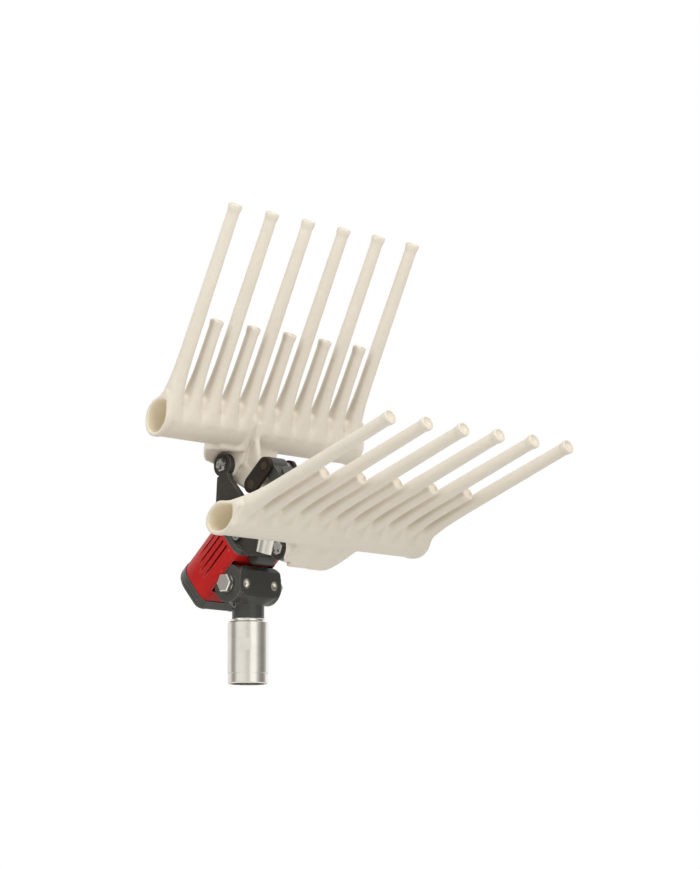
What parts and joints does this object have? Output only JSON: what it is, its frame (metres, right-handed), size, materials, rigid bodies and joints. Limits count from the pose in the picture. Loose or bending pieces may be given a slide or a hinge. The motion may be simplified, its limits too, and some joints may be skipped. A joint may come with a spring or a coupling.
{
  "type": "olive harvester head",
  "caption": "Pole-mounted harvesting head: hinged combs with long ivory teeth are opened and closed by an air cylinder through links, and the red head tilts on a grey fork.",
  "frame": {"origin": "centre of the pole socket's mouth", "axes": "+Z along the pole towards the head, +X to the side the head leans to, +Y along the comb tubes"},
  "size_m": [0.3524, 0.254, 0.4044],
  "materials": {
    "ivory_plastic": "satin moulded plastic",
    "red_paint": "red paint on cast aluminium, semi-gloss",
    "grey_paint": "grey paint on cast aluminium, satin",
    "crosshead_paint": "blue-grey paint on aluminium",
    "brown_plate": "dark brown coated steel",
    "nickel": "bright nickel plate",
    "steel": "zinc plated steel",
    "bronze": "sintered bronze",
    "piston_metal": "machined",
    "rubber": "nitrile",
    "gasket": "gasket sheet"
  },
  "bodies": {
    "pole_side": {"pole_coupling": "nickel", "coupling_ring": "nickel", "pole_fork": "grey_paint", "neck_screw": "steel", "web_screws": "steel", "tilt_bolt": "steel", "tilt_nut": "steel", "tilt_washers": "steel"},
    "head": {"cylinder_body": "red_paint", "tilt_bush": "bronze", "rear_gasket": "gasket", "rear_cap": "grey_paint", "rear_cap_screws": "steel", "front_gasket": "gasket", "front_head": "grey_paint", "front_head_screws": "steel", "rod_bush": "bronze", "rod_seal": "rubber", "exhaust_cover": "grey_paint", "near_yoke": "grey_paint", "far_yoke": "grey_paint", "yoke_screws": "steel", "horn_pad": "nickel", "upper_pivot_bolt": "steel", "lower_pivot_bolt": "steel", "upper_pivot_nut": "steel", "lower_pivot_nut": "steel"},
    "valve": {"valve_spool": "steel"},
    "ram": {"piston": "piston_metal", "piston_seals": "rubber", "piston_rod": "steel", "piston_nut": "steel", "crosshead": "crosshead_paint", "upper_cross_pin": "steel", "lower_cross_pin": "steel", "upper_cross_sleeve": "steel", "lower_cross_sleeve": "steel"},
    "upper_comb": {"upper_rake": "ivory_plastic", "upper_rake_bushes": "bronze", "upper_lever_pin": "steel"},
    "lower_comb": {"lower_rake": "ivory_plastic", "lower_rake_bushes": "bronze", "lower_lever_pin": "steel"},
    "upper_links": {"upper_near_link": "brown_plate", "upper_far_link": "brown_plate"},
    "lower_links": {"lower_near_link": "brown_plate", "lower_far_link": "brown_plate"}
  },
  "joints": [
    {"name": "head_tilt", "type": "hinge", "parent": "pole_side", "child": "head", "pos_m": [0, 0, 0.088], "axis": [0, 1, 0], "range_deg": [-20, 15]},
    {"name": "valve_slide", "type": "slide", "parent": "head", "child": "valve", "axis": [0, 1, 0], "range_m": [-0.004, 0.004]},
    {"name": "upper_rake_swing", "type": "hinge", "parent": "head", "child": "upper_comb", "pos_m": [-0.01028, 0, 0.19522], "axis": [0, 1, 0], "range_deg": [-14, 6]},
    {"name": "lower_rake_swing", "type": "hinge", "parent": "head", "child": "lower_comb", "pos_m": [0.06143, 0, 0.11446], "axis": [0, -1, 0], "range_deg": [-14.05, 6.05]},
    {"name": "ram_slide", "type": "slide", "parent": "head", "child": "ram", "axis": [0.7478, 0, 0.6639], "range_m": [-0.00348, 0.0081]},
    {"name": "upper_link_turn", "type": "hinge", "parent": "upper_comb", "child": "upper_links", "pos_m": [0.01944, 0, 0.17562], "axis": [0, 1, 0], "range_deg": [-9.14, 21.26]},
    {"name": "lower_link_turn", "type": "hinge", "parent": "lower_comb", "child": "lower_links", "pos_m": [0.04549, 0, 0.14629], "axis": [0, -1, 0], "range_deg": [-9.14, 21.26]}
  ],
  "couplings": [
    {"joint": "lower_rake_swing", "follows": "upper_rake_swing", "ratio": 1},
    {"joint": "ram_slide", "follows": "upper_rake_swing", "m_per_rad": -0.03306},
    {"joint": "upper_link_turn", "follows": "upper_rake_swing", "ratio": -1.515},
    {"joint": "lower_link_turn", "follows": "upper_rake_swing", "ratio": -1.515}
  ]
}
